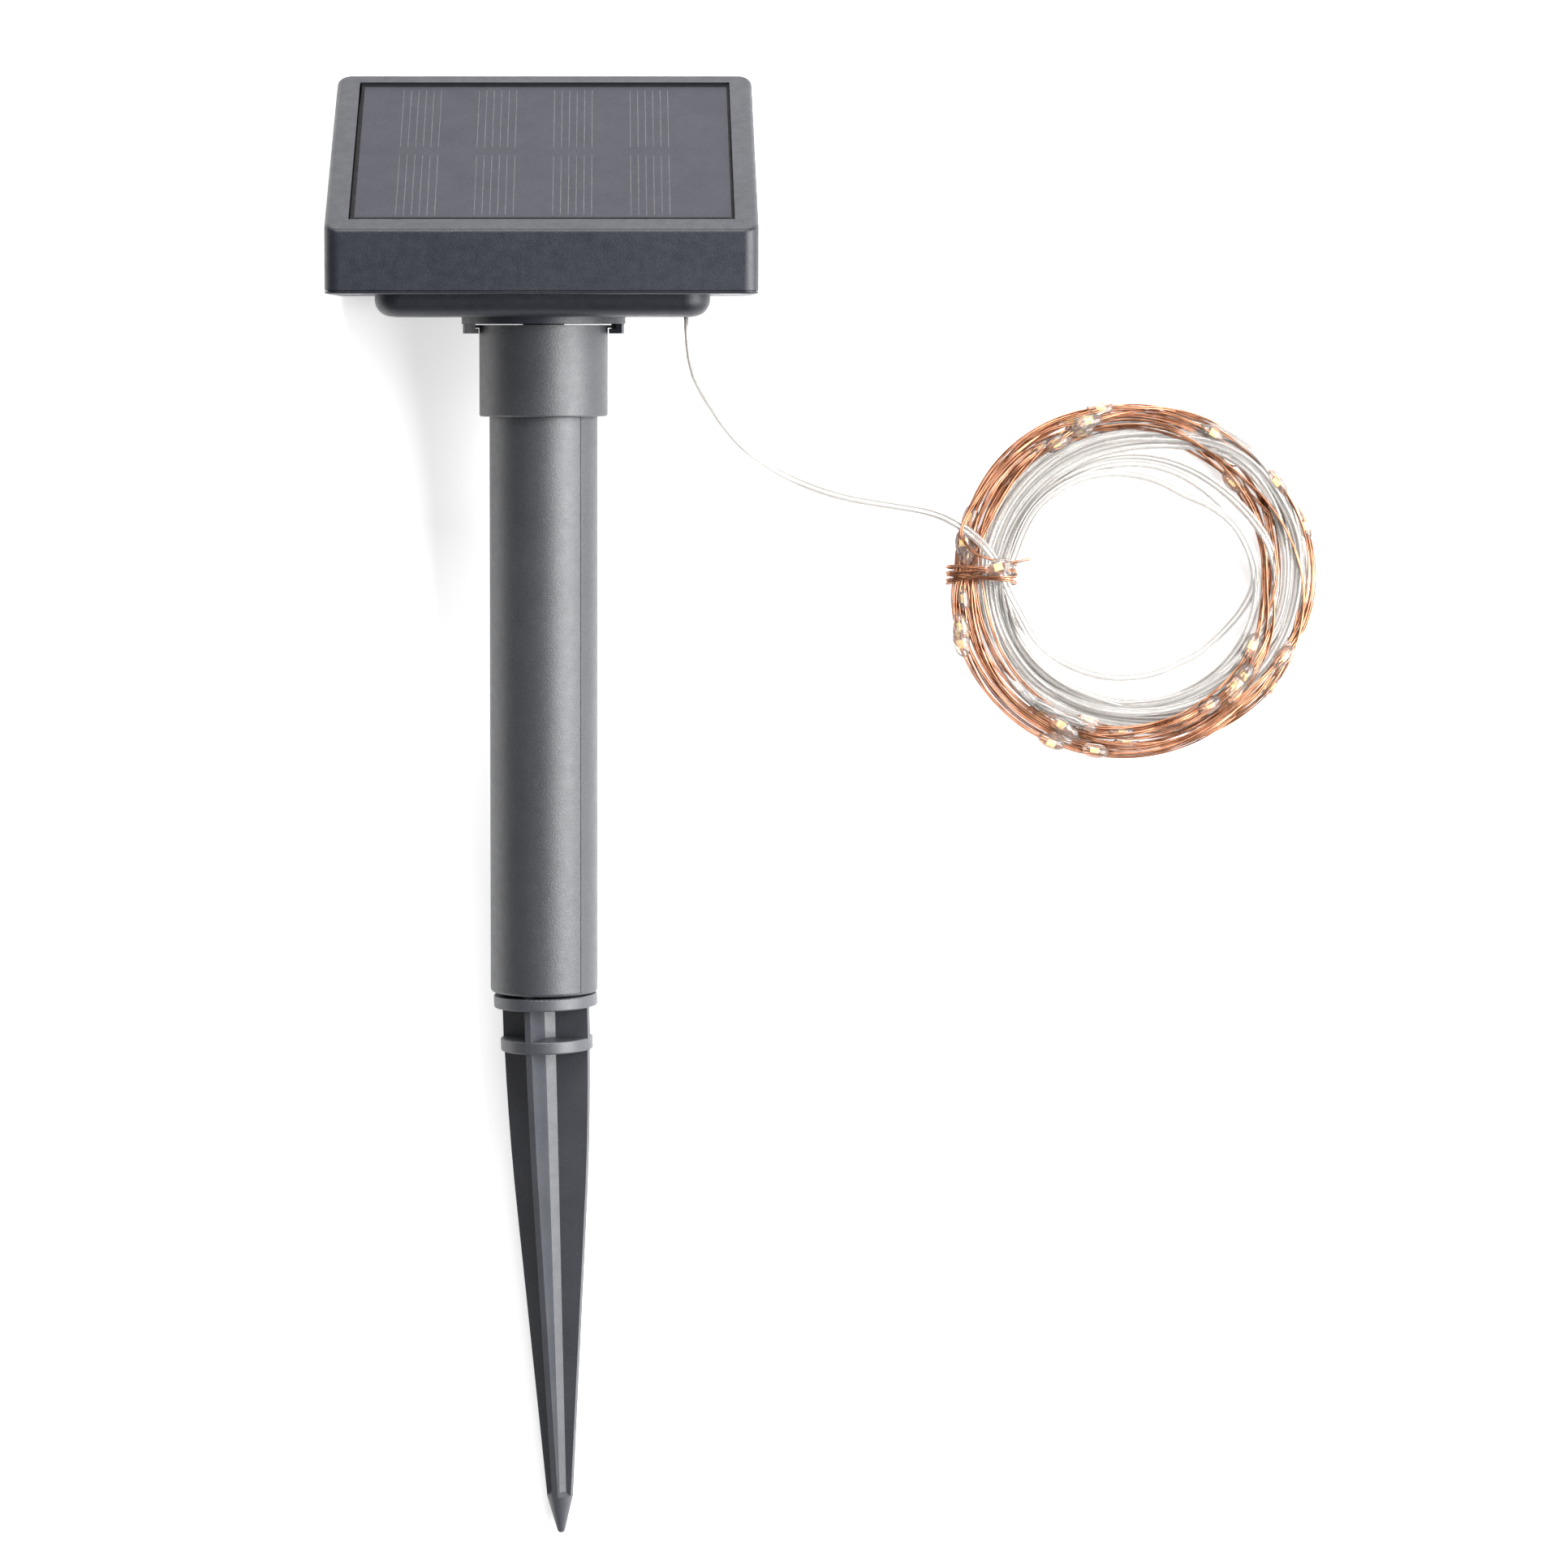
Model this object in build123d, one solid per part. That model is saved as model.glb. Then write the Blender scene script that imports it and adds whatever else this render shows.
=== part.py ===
from build123d import *
import math
import os

# Solar string lights: a wedge-shaped solar head on a pole with a ground spike, and a lead with a coiled
# string of small lights. Millimetres.
# The head, pole and spike are drawn standing up: X to the right, Y to the back, Z up the pole, with Z = 0
# on the underside of the battery box. At the end everything is laid on its back on the floor, as it rests
# by itself: on the head's rear lower edge and the tip of the spike. There +Y runs from the spike to the
# head, Z = 0 is the floor, and the origin is under the middle of the box round head, pole and spike.

# ---- driving dimensions ------------------------------------------------------------------------------

# head housing
HEAD_W, HEAD_D, HEAD_R = 101.0, 66.0, 3.4          # plan of the housing and its corner radius
HEAD_Y = -3.0                                      # middle of the plan, in front of the pole axis
PLATE_Z, SPLIT_Z = 5.2, 6.0                        # underside of the plate, parting plane above it
FRONT_Z, BACK_Z = 19.9, 59.6                       # top face at the front wall and at the rear wall
WALL, EDGE_R, PLATE_EDGE_R = 2.2, 1.2, 0.45        # housing wall, rounding of the top and the lower edges
RECESS_W, RECESS_L, RECESS_DEEP = 89.9, 66.9, 3.0  # pocket for the solar laminate
RECESS_FLOOR = 2.0
SEAL_T, SPIGOT_TOP = 0.2, 7.7                      # squeezed housing seal, top of the plate's raised middle

# battery box, pad and bayonet hooks under the head
BOX_W, BOX_Y0, BOX_Y1, BOX_R, BOX_EDGE_R = 79.0, -25.0, 21.0, 6.0, 4.0
BOX_FLOOR = 2.0
PAD_R, PAD_T = 19.6, 1.65
HOOK_R0, HOOK_WALL_R, HOOK_R1 = 16.1, 17.9, 19.3
SLOT_Z, HOOK_Z = -2.75, -3.95
HOOK_HALF_ARC, HOOK_STOP_ARC = 14.0, 4.5           # degrees
SPIGOT_R, SPIGOT_T = 5.0, 1.4

# solar laminate
PANEL_W, PANEL_L, PANEL_SHIFT = 88.9, 66.0, 0.2
GASKET_T, BOARD_T, CELL_T, COVER_T = 0.5, 1.2, 0.25, 0.45
CELL_W, CELL_L, CELL_PITCH, CELL_GAP = 18.2, 31.0, 18.4, 0.6
CELL_COLS, CELL_ROWS = 4, 2

# collar, pole and spike
COLLAR_R, COLLAR_TOP, COLLAR_END, COLLAR_WEB = 15.4, -1.9, -23.7, 2.4
LUG_R, LUG_T, LUG_HALF_ARC = 17.5, 0.7, 9.0
POLE_R, POLE_WALL, POLE_TOP, POLE_END = 13.0, 1.8, -4.45, -162.6
NECK_STEP = 0.5                                    # the pole's end inside the collar is this much slimmer
POLE_FIT = 0.06                                    # radial play of the pole in the collar
SEAM_W, SEAM_DEEP, SEAM_ANGLE = 0.30, 0.12, -47.0  # mould seam along the pole
RIB_T, RIB_TURN = 1.5, -23.0
RING1_R, RING1_T, RING2_R, RING2_T = 12.55, 3.0, 11.2, 3.0
RING1_GAP, RING_PITCH = 0.5, 10.6
PLUG_R, PLUG_L = 10.75, 22.5
SPIKE_TOP_R, SPIKE_MID_R, SPIKE_BEND_R, SPIKE_LOW_R = 11.0, 10.2, 8.8, 3.15
SPIKE_MID_Z, SPIKE_BEND_Z = -198.0, -218.0
SPIKE_TIP_Z, SPIKE_CONE_L, TIP_R = -296.3, 9.4, 0.8
CORE_TOP, CORE_LOW = 2.45, 1.9                     # half width of the square core
SPIKE_LEAN, LEAN_Z = 1.59, -152.5                  # lean that the loose plug allows, and its pivot

# inside the head
CELL_BODY_R, CELL_BODY_L, CELL_NUB_R, CELL_NUB_L = 7.1, 49.0, 2.7, 1.0
CELL_AT = (8.0, 10.3)                              # Y and Z of the battery's axis
TRAY_L, TRAY_WALL, TRAY_TOP = 57.0, 1.2, 11.5
BUTTON_AT, BUTTON_Y, BUTTON_R = 29.0, -12.0, 4.0
BUTTON_FIT, BUTTON_SINK = 0.1, 0.2
PCB_W, PCB_D, PCB_Y, PCB_Z, PCB_T = 68.0, 18.0, -12.5, 7.5, 1.6
BOARD_HOLE_R, COMPONENT_H, CHIP_H, INDUCTOR_H = 1.2, 6.5, 1.5, 3.2
BOARD_SCREW_R, BOARD_SCREW_HEAD_R, BOARD_SCREW_L, BOARD_SCREW_HEAD_H = 1.1, 2.1, 5.5, 1.4
SWITCH_W, SWITCH_H, SWITCH_KEY_R, SWITCH_KEY_H = 6.0, 2.6, 1.6, 0.8
FLANGE_R, FLANGE_T, STEM_R, STEM_L, MARK_DEEP = 5.2, 0.6, 2.4, 1.1, 0.15
SEAL_RING_R0, SEAL_RING_R1, SEAL_RING_T = 5.6, 6.6, 1.0
BOSS_X, BOSS_R, SCREW_BOSS_R = 12.0, 2.6, 3.4
SCREW_SEAT, SCREW_HEAD_H, CROSS_L, CROSS_W = 0.5, 1.3, 2.6, 0.6
SCREW_X, SCREW_Y0, SCREW_Y1 = 44.0, -30.0, 24.0
SCREW_R, SCREW_HEAD_R, SCREW_L = 1.45, 2.7, 8.0
EXIT_X, EXIT_Y, GROMMET_R, GROMMET_FLANGE, GROMMET_FLANGE_T = 34.2, 5.0, 1.3, 1.1, 1.0
WIRE_R = 0.6

# lead and coil, on the floor
LEAD_D, LEAD_FIRST_RUN = 2.2, 11.0
LEAD_ROUTE = [(39.0, 98.4, 13.5), (47.0, 88.4, 5.0), (58.0, 80.9, 1.2), (71.0, 75.8, 1.2),
              (84.0, 73.6, 1.2), (95.0, 71.8, 3.0), (103.0, 67.2, 7.0)]
COIL_AT = (143.8, 54.9)
COIL_OUT, COIL_IN = (44.9, 43.4), (30.5, 29.5)     # half axes of the ring, outside and inside
COIL_Z0, COIL_Z1 = 0.6, 9.0
TIE_L, TIE_T = 5.0, 0.6
SLEEVE_R, SLEEVE_L, SLEEVE_INSET = 1.3, 14.0, 6.3
SLEEVE_ANGLE, SLEEVE_CLEAR = 240.0, 15.0           # place on the coil, and degrees kept free of drops
BEAD_L, BEAD_R, BEAD_COUNT, BEAD_ANGLE = 7.0, 1.85, 16, 12.0

SLOPE = math.degrees(math.atan2(BACK_Z - FRONT_Z, HEAD_D))
FRONT_Y = HEAD_Y - HEAD_D / 2
BACK_Y = HEAD_Y + HEAD_D / 2
BOX_MID_Y, BOX_D = (BOX_Y0 + BOX_Y1) / 2, BOX_Y1 - BOX_Y0
MID_Z = (FRONT_Z + BACK_Z) / 2


def turned(y, z):
    """Cylinder placement along X through (y, z)."""
    return Pos(0, y, z) * Rot(0, 90, 0)


def cyl(radius, z0, z1, x=0.0, y=0.0):
    """Upright cylinder between two heights."""
    return Pos(x, y, (z0 + z1) / 2) * Cylinder(radius, abs(z1 - z0))


def block(width, depth, z0, z1, x=0.0, y=0.0):
    """Upright block between two heights."""
    return Pos(x, y, (z0 + z1) / 2) * Box(width, depth, abs(z1 - z0))


def slab(width, depth, radius, z0, z1, y=0.0):
    """Upright block with rounded corners in plan."""
    outline = Pos(0, y, z0) * RectangleRounded(width, depth, radius)
    return extrude(outline, amount=z1 - z0)


def on_slope(shape, depth):
    """Place a shape on the sloping top face, a depth below it, with its own Y up the slope."""
    return Pos(0, HEAD_Y, MID_Z) * Rot(SLOPE, 0, 0) * Pos(0, 0, -depth) * shape


def below_slope(depth):
    """Large block that fills all space under the sloping face, a depth below it."""
    return on_slope(Pos(0, 0, -60) * Box(160, 160, 120), depth)


def sector(radius0, radius1, z0, z1, angle0, angle1):
    """Upright ring segment between two angles in degrees."""
    section = Rot(90, 0, 0) * Rectangle(radius1 - radius0, z1 - z0)
    arc = revolve(Pos((radius0 + radius1) / 2, 0, (z0 + z1) / 2) * section, Axis.Z, angle1 - angle0)
    return Rot(0, 0, angle0) * arc


def wire(points, radii, radius):
    """Round wire along straight runs joined by tangent arcs."""
    path = FilletPolyline(*points, radius=radii)
    return sweep(Plane(path @ 0, z_dir=path % 0) * Circle(radius), path=path)


# ---- head housing --------------------------------------------------------------------------------------

def make_top_frame():
    """Wedge-shaped upper housing, open below, with the laminate's pocket in its sloping top."""
    body = slab(HEAD_W, HEAD_D, HEAD_R, SPLIT_Z, BACK_Z + 5, HEAD_Y) & below_slope(0)
    top_face = body.faces().sort_by(Axis.Z)[-1]
    body = fillet(top_face.edges(), EDGE_R)
    hollow = slab(HEAD_W - 2 * WALL, HEAD_D - 2 * WALL, HEAD_R - WALL, SPLIT_Z - 1, BACK_Z, HEAD_Y)
    body -= hollow & below_slope(RECESS_DEEP + RECESS_FLOOR)
    for x in (-SCREW_X, SCREW_X):
        for y in (SCREW_Y0, SCREW_Y1):
            boss = cyl(SCREW_BOSS_R, SPLIT_Z + 1.7, BACK_Z, x, y)
            boss &= below_slope(RECESS_DEEP + RECESS_FLOOR - 0.5)
            body += boss
            body -= cyl(SCREW_R, 0, SPLIT_Z + SCREW_SEAT + SCREW_L, x, y)
    body -= on_slope(Box(RECESS_W, RECESS_L, 2 * RECESS_DEEP), 0)
    body -= on_slope(Box(9, 5, 20), RECESS_DEEP)
    return body


def make_base_cover():
    """Lower housing: plate, battery box, round pad and two bayonet hooks."""
    lip_top = SPLIT_Z - SEAL_T
    plate = slab(HEAD_W, HEAD_D, HEAD_R, PLATE_Z, lip_top, HEAD_Y)
    bottom = plate.faces().sort_by(Axis.Z)[0]
    plate = fillet(bottom.edges(), PLATE_EDGE_R)
    inside = 2 * WALL + 0.4
    plate += slab(HEAD_W - inside, HEAD_D - inside, HEAD_R - inside / 2, PLATE_Z + 0.3, SPIGOT_TOP, HEAD_Y)
    box = slab(BOX_W, BOX_D, BOX_R, 0, PLATE_Z + 1, BOX_MID_Y)
    box = fillet(box.faces().sort_by(Axis.Z)[0].edges(), BOX_EDGE_R)
    cover = plate + box
    cover -= slab(BOX_W - 4, BOX_D - 4, BOX_R - 2, BOX_FLOOR, 20, BOX_MID_Y)
    cover += cyl(PAD_R, -PAD_T, BOX_FLOOR)
    cover += cyl(SPIGOT_R, -PAD_T - SPIGOT_T, 0)
    for start in (0, 180):
        low, high = start - HOOK_HALF_ARC, start + HOOK_HALF_ARC
        hook = sector(HOOK_WALL_R, HOOK_R1, HOOK_Z, -0.5, low, high)
        hook += sector(HOOK_R0, HOOK_R1, HOOK_Z, SLOT_Z, low, high)
        hook += sector(HOOK_R0 + 0.6, HOOK_R1, HOOK_Z, -0.5, high - HOOK_STOP_ARC, high)
        cover += hook
    for x in (-BUTTON_AT, BUTTON_AT):
        cover -= cyl(BUTTON_R + BUTTON_FIT, -1, BOX_FLOOR + 1, x, BUTTON_Y)
    for x in (-BOSS_X, BOSS_X):
        boss = cyl(BOSS_R, BOX_FLOOR - 0.5, PCB_Z, x, PCB_Y)
        cover += boss - cyl(BOARD_SCREW_R, BOX_FLOOR, PCB_Z + 1, x, PCB_Y)
    for x in (-SCREW_X, SCREW_X):
        for y in (SCREW_Y0, SCREW_Y1):
            cover -= cyl(SCREW_R + 0.15, 0, 10, x, y) + cyl(SCREW_HEAD_R + 0.2, 0, SPLIT_Z + SCREW_SEAT, x, y)
    cover -= cyl(GROMMET_R, -1, BOX_FLOOR + 1, EXIT_X, EXIT_Y)
    return cover


def make_housing_seal():
    """Flat rubber ring squeezed between the two housing halves."""
    low, high = SPLIT_Z - SEAL_T, SPLIT_Z
    ring = slab(HEAD_W - 1.6, HEAD_D - 1.6, HEAD_R - 0.8, low, high, HEAD_Y)
    return ring - slab(HEAD_W - 3.8, HEAD_D - 3.8, HEAD_R - 1.9, low - 1, high + 1, HEAD_Y)


def make_housing_screws():
    """Four self-tapping pan-head screws from below, with cross recesses."""
    screws = []
    for x in (-SCREW_X, SCREW_X):
        for y in (SCREW_Y0, SCREW_Y1):
            seat = SPLIT_Z + SCREW_SEAT
            head = seat - SCREW_HEAD_H
            screw = cyl(SCREW_R, seat, seat + SCREW_L, x, y) + cyl(SCREW_HEAD_R, head, seat, x, y)
            for turn in (45, 135):
                screw -= Pos(x, y, head) * Rot(0, 0, turn) * Box(CROSS_L, CROSS_W, 1.4)
            screws.append(screw)
    return screws


# ---- solar laminate ------------------------------------------------------------------------------------

def laminate(thickness, above):
    """One sheet of the laminate, a height above the pocket's floor."""
    sheet = Box(PANEL_W, PANEL_L, thickness)
    return on_slope(Pos(PANEL_SHIFT, 0, 0) * sheet, RECESS_DEEP - above - thickness / 2)


def make_panel_gasket():
    """Adhesive foam frame that beds the laminate in its pocket."""
    frame = Box(PANEL_W, PANEL_L, GASKET_T) - Box(PANEL_W - 10, PANEL_L - 10, 2)
    return on_slope(Pos(PANEL_SHIFT, 0, 0) * frame, RECESS_DEEP - GASKET_T / 2)


def make_solar_cells():
    """Eight silicon cells in two rows on the backing board."""
    depth = RECESS_DEEP - GASKET_T - BOARD_T - CELL_T / 2
    cells = []
    for row in range(CELL_ROWS):
        for col in range(CELL_COLS):
            x = PANEL_SHIFT + (col - (CELL_COLS - 1) / 2) * CELL_PITCH - 2.4
            y = (row - (CELL_ROWS - 1) / 2) * (CELL_L + CELL_GAP)
            cells.append(on_slope(Pos(x, y, 0) * Box(CELL_W, CELL_L, CELL_T), depth))
    return cells


def make_panel_cover():
    """Clear sheet over the cells, moulded round them down to the backing board."""
    sheet = laminate(COVER_T + CELL_T, GASKET_T + BOARD_T)
    for cell in make_solar_cells():
        sheet -= cell
    return sheet


# ---- inside the head -----------------------------------------------------------------------------------

def make_battery_holder():
    """Open tray for one AA cell, with end walls."""
    y, z = CELL_AT
    outer_d = 2 * (CELL_BODY_R + TRAY_WALL + 0.2)
    tray = block(TRAY_L, outer_d, BOX_FLOOR, TRAY_TOP, 0, y)
    tray -= block(TRAY_L - 2 * TRAY_WALL, outer_d - 2 * TRAY_WALL, z, TRAY_TOP + 1, 0, y)
    tray -= turned(y, z) * Cylinder(CELL_BODY_R + 0.2, TRAY_L - 2 * TRAY_WALL)
    return tray


def make_battery_cell():
    """Rechargeable AA cell with its raised positive end."""
    y, z = CELL_AT
    right = TRAY_L / 2 - TRAY_WALL - 0.4 - CELL_NUB_L
    body = Pos(right - CELL_BODY_L / 2, 0, 0) * turned(y, z) * Cylinder(CELL_BODY_R, CELL_BODY_L)
    body = fillet(body.edges().filter_by(GeomType.CIRCLE), 0.6)
    return body + Pos(right + CELL_NUB_L / 2, 0, 0) * turned(y, z) * Cylinder(CELL_NUB_R, CELL_NUB_L)


def make_battery_contact():
    """Flat spring-steel plate at the positive end."""
    y, z = CELL_AT
    return Pos(TRAY_L / 2 - TRAY_WALL - 0.2, y, z) * Box(0.4, 9, 9)


def make_battery_spring():
    """Helical contact at the negative end, on its plate."""
    y, z = CELL_AT
    plate_x = -TRAY_L / 2 + TRAY_WALL
    gap = TRAY_L - 2 * TRAY_WALL - 0.8 - CELL_BODY_L - CELL_NUB_L
    plate = Pos(plate_x + 0.2, y, z) * Box(0.4, 9, 9)
    path = Helix(pitch=1.3, height=gap - 0.9, radius=3.0)
    coil = sweep(Plane(path @ 0, z_dir=path % 0) * Circle(0.3), path=path)
    return plate + Pos(plate_x + 0.65, y, z) * Rot(0, 90, 0) * coil


def make_controller_board():
    """Circuit board on its two bosses."""
    board = block(PCB_W, PCB_D, PCB_Z, PCB_Z + PCB_T, 0, PCB_Y)
    for x in (-BOSS_X, BOSS_X):
        board -= cyl(BOARD_HOLE_R, PCB_Z - 1, PCB_Z + PCB_T + 1, x, PCB_Y)
    return board


def make_board_components():
    """Driver chip, inductor, capacitor and terminal block on top of the board."""
    top = PCB_Z + PCB_T
    chip = block(5.0, 4.0, top, top + CHIP_H, -3, PCB_Y)
    inductor = cyl(2.6, top, top + INDUCTOR_H, 5.0, PCB_Y + 2)
    capacitor = cyl(2.5, top, top + COMPONENT_H, -20, PCB_Y + 3)
    terminal = block(9, 7, top, top + COMPONENT_H, 24, PCB_Y)
    for x in (22, 26):
        terminal -= cyl(BOARD_HOLE_R, top + 4, top + 8, x, PCB_Y)
    return [chip, inductor, capacitor, terminal]


def make_board_screws():
    """Two small pan-head screws that hold the board."""
    top = PCB_Z + PCB_T
    screws = []
    for x in (-BOSS_X, BOSS_X):
        shank = cyl(BOARD_SCREW_R, top - BOARD_SCREW_L, top, x, PCB_Y)
        screws.append(shank + cyl(BOARD_SCREW_HEAD_R, top, top + BOARD_SCREW_HEAD_H, x, PCB_Y))
    return screws


def make_tact_switches():
    """Two switches under the board, over the buttons."""
    low = PCB_Z - SWITCH_H
    switches = []
    for x in (-BUTTON_AT, BUTTON_AT):
        body = block(SWITCH_W, SWITCH_W, low, PCB_Z, x, BUTTON_Y)
        switches.append(body + cyl(SWITCH_KEY_R, low - SWITCH_KEY_H, low, x, BUTTON_Y))
    return switches


def make_button(x, mark):
    """Push button with a retaining flange, a stem and a mark sunk in its face."""
    button = cyl(BUTTON_R, BUTTON_SINK, BOX_FLOOR, x, BUTTON_Y)
    button = fillet(button.edges().sort_by(Axis.Z)[0], 0.3)
    button += cyl(FLANGE_R, BOX_FLOOR + 0.05, BOX_FLOOR + 0.05 + FLANGE_T, x, BUTTON_Y)
    button += cyl(STEM_R, BOX_FLOOR - 0.5, BOX_FLOOR + STEM_L, x, BUTTON_Y)
    return button - Pos(x, BUTTON_Y, BUTTON_SINK) * mark


def make_button_seals():
    """Two silicone rings round the button flanges."""
    rings = []
    for x in (-BUTTON_AT, BUTTON_AT):
        ring = cyl(SEAL_RING_R1, BOX_FLOOR, BOX_FLOOR + SEAL_RING_T, x, BUTTON_Y)
        rings.append(ring - cyl(SEAL_RING_R0, BOX_FLOOR - 1, BOX_FLOOR + 2, x, BUTTON_Y))
    return rings


def make_cable_grommet():
    """Rubber grommet in the box floor, flush outside, with a flange inside."""
    top = BOX_FLOOR + GROMMET_FLANGE_T
    flange = cyl(GROMMET_R + GROMMET_FLANGE, BOX_FLOOR, top, EXIT_X, EXIT_Y)
    return cyl(GROMMET_R, 0, BOX_FLOOR, EXIT_X, EXIT_Y) + flange


def make_panel_leads():
    """Two thin wires from the laminate's hole down to the board."""
    top = PCB_Z + PCB_T
    leads = []
    for x in (-1.5, 1.5):
        points = [(x, -3.0, 32.0), (x, -4.0, 24.0), (x * 3, -16.0, 18.0), (x * 3.6, PCB_Y - 5, top + 0.4)]
        leads.append(wire(points, [3.0, 3.0], WIRE_R))
    return leads


def make_battery_leads():
    """Two thin wires from the battery's ends to the board."""
    top = PCB_Z + PCB_T
    edge_y = CELL_AT[0] - CELL_BODY_R - TRAY_WALL - 0.8
    leads = []
    for side in (-1, 1):
        x = side * (TRAY_L / 2 + 0.7)
        points = [(x, CELL_AT[0], 12.5), (x, edge_y - 1, 13.5), (side * 15.0, PCB_Y + 5, 12.0),
                  (side * 14.0, PCB_Y + 5.5, top + 0.4)]
        leads.append(wire(points, [2.0, 2.0], WIRE_R))
    return leads


# ---- collar, pole and spike ----------------------------------------------------------------------------

def make_collar():
    """Cap on the pole: web, skirt and two bayonet lugs."""
    collar = cyl(COLLAR_R, COLLAR_END, COLLAR_TOP)
    rims = collar.edges().filter_by(GeomType.CIRCLE).sort_by(Axis.Z)
    collar = chamfer(rims[0], 0.35)
    collar -= cyl(POLE_R - NECK_STEP + POLE_FIT, COLLAR_END - 1, COLLAR_TOP - COLLAR_WEB)
    collar -= cyl(SPIGOT_R + 0.15, COLLAR_TOP - COLLAR_WEB - 1, 0)
    for start in (0, 180):
        low, high = start - LUG_HALF_ARC, start + LUG_HALF_ARC
        collar += sector(COLLAR_R - 0.5, LUG_R, COLLAR_TOP - LUG_T, COLLAR_TOP, low, high)
    return collar


def make_pole_tube():
    """Plain tube with a rounded lower edge, a slimmer neck and a fine mould seam on each side."""
    tube = cyl(POLE_R, POLE_END, COLLAR_END - 0.1)
    tube = fillet(tube.edges().filter_by(GeomType.CIRCLE).sort_by(Axis.Z)[0], 0.9)
    tube += cyl(POLE_R - NECK_STEP, COLLAR_END - 1, POLE_TOP)
    tube -= cyl(POLE_R - POLE_WALL, POLE_END - 1, POLE_TOP + 1)
    for turn in (SEAM_ANGLE, SEAM_ANGLE + 180):
        mid, length = (POLE_END + POLE_TOP) / 2, POLE_TOP - POLE_END
        tube -= Rot(0, 0, turn) * Pos(POLE_R, 0, mid) * Box(2 * SEAM_DEEP, SEAM_W, length + 2)
    return tube


def make_ground_spike():
    """Cross-ribbed spike: plug, two rings, square tapering core and a pointed tip."""
    ring1 = POLE_END - RING1_GAP
    ring2 = ring1 - RING_PITCH
    cone = SPIKE_TIP_Z + SPIKE_CONE_L
    neck = ring2 - RING2_T
    side = [
        Polyline((0, POLE_END + PLUG_L), (PLUG_R - 1.5, POLE_END + PLUG_L), (PLUG_R, POLE_END + PLUG_L - 3),
                 (PLUG_R, ring1), (RING2_R, ring1), (RING2_R, neck), (SPIKE_TOP_R, neck)),
        ThreePointArc((SPIKE_TOP_R, neck), (SPIKE_MID_R, SPIKE_MID_Z), (SPIKE_BEND_R, SPIKE_BEND_Z)),
        Polyline((SPIKE_BEND_R, SPIKE_BEND_Z), (SPIKE_LOW_R, cone), (0, cone), (0, POLE_END + PLUG_L)),
    ]
    profile = make_face(Plane.XZ * (Curve() + side))
    rib = extrude(profile, amount=RIB_T / 2, both=True)
    spike = rib + Rot(0, 0, 90) * rib + Rot(0, 0, 180) * rib + Rot(0, 0, 270) * rib
    core_top = Pos(0, 0, ring1) * Rot(0, 0, 45) * Rectangle(2 * CORE_TOP, 2 * CORE_TOP)
    core_low = Pos(0, 0, cone) * Rot(0, 0, 45) * Rectangle(2 * CORE_LOW, 2 * CORE_LOW)
    spike += loft([core_top, core_low])
    for top, radius, thick in ((ring1, RING1_R, RING1_T), (ring2, RING2_R, RING2_T)):
        ring = cyl(radius, top - thick, top)
        spike += fillet(ring.edges().filter_by(GeomType.CIRCLE), 0.35)
    point = Polyline((0, cone + 2.5), (SPIKE_LOW_R + 0.1, cone), (TIP_R, SPIKE_TIP_Z), (0, SPIKE_TIP_Z),
                     (0, cone + 2.5))
    tip = revolve(make_face(Plane.XZ * (Curve() + point)), Axis.Z)
    spike += fillet(tip.edges().filter_by(GeomType.CIRCLE).sort_by(Axis.Z)[0], 0.7)
    lean = Pos(0, 0, LEAN_Z) * Rot(0, -SPIKE_LEAN, 0) * Pos(0, 0, -LEAN_Z)
    return lean * Rot(0, 0, RIB_TURN) * spike


# ---- laying the object on the floor --------------------------------------------------------------------

# The line that touches the head's rear lower edge and the rear rib's end above the tip is the floor.
turn = math.radians(abs(RIB_TURN))
RIB_TOUCH = SPIKE_LOW_R * math.cos(turn) + RIB_T / 2 * math.sin(turn)
EDGE_TOUCH = BACK_Y - PLATE_EDGE_R / 5
TOUCH_RUN = PLATE_Z + PLATE_EDGE_R / 2 - SPIKE_TIP_Z - SPIKE_CONE_L
TILT = math.degrees(math.atan2(EDGE_TOUCH - RIB_TOUCH, TOUCH_RUN))


def lay(shape):
    """Turn a standing shape onto its back and drop it on the floor."""
    return Pos(0, LAY_Y, LAY_Z) * Rot(TILT - 90, 0, 0) * shape


def make_head_parts():
    """Every piece of the head's body, standing."""
    return {
        "top_frame": make_top_frame(),
        "base_cover": make_base_cover(),
        "housing_seal": make_housing_seal(),
        "housing_screws": make_housing_screws(),
        "panel_gasket": make_panel_gasket(),
        "panel_board": laminate(BOARD_T, GASKET_T),
        "solar_cells": make_solar_cells(),
        "panel_cover": make_panel_cover(),
        "battery_holder": make_battery_holder(),
        "battery_cell": make_battery_cell(),
        "battery_contact": make_battery_contact(),
        "battery_spring": make_battery_spring(),
        "controller_board": make_controller_board(),
        "board_components": make_board_components(),
        "board_screws": make_board_screws(),
        "tact_switches": make_tact_switches(),
        "button_seals": make_button_seals(),
        "cable_grommet": make_cable_grommet(),
        "panel_leads": make_panel_leads(),
        "battery_leads": make_battery_leads(),
    }


def make_moving_parts():
    """Every piece that moves against the head, standing."""
    ring = cyl(1.5, -MARK_DEEP, MARK_DEEP) - cyl(1.1, -1, 1)
    power_mark = ring + Pos(0, 1.3, 0) * Box(0.4, 1.6, 2 * MARK_DEEP)
    return {
        "power_button": make_button(-BUTTON_AT, power_mark),
        "mode_button": make_button(BUTTON_AT, cyl(1.2, -MARK_DEEP, MARK_DEEP)),
        "collar": make_collar(),
        "pole_tube": make_pole_tube(),
        "ground_spike": make_ground_spike(),
    }


# ---- lead and coil, drawn where they lie ---------------------------------------------------------------

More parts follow.
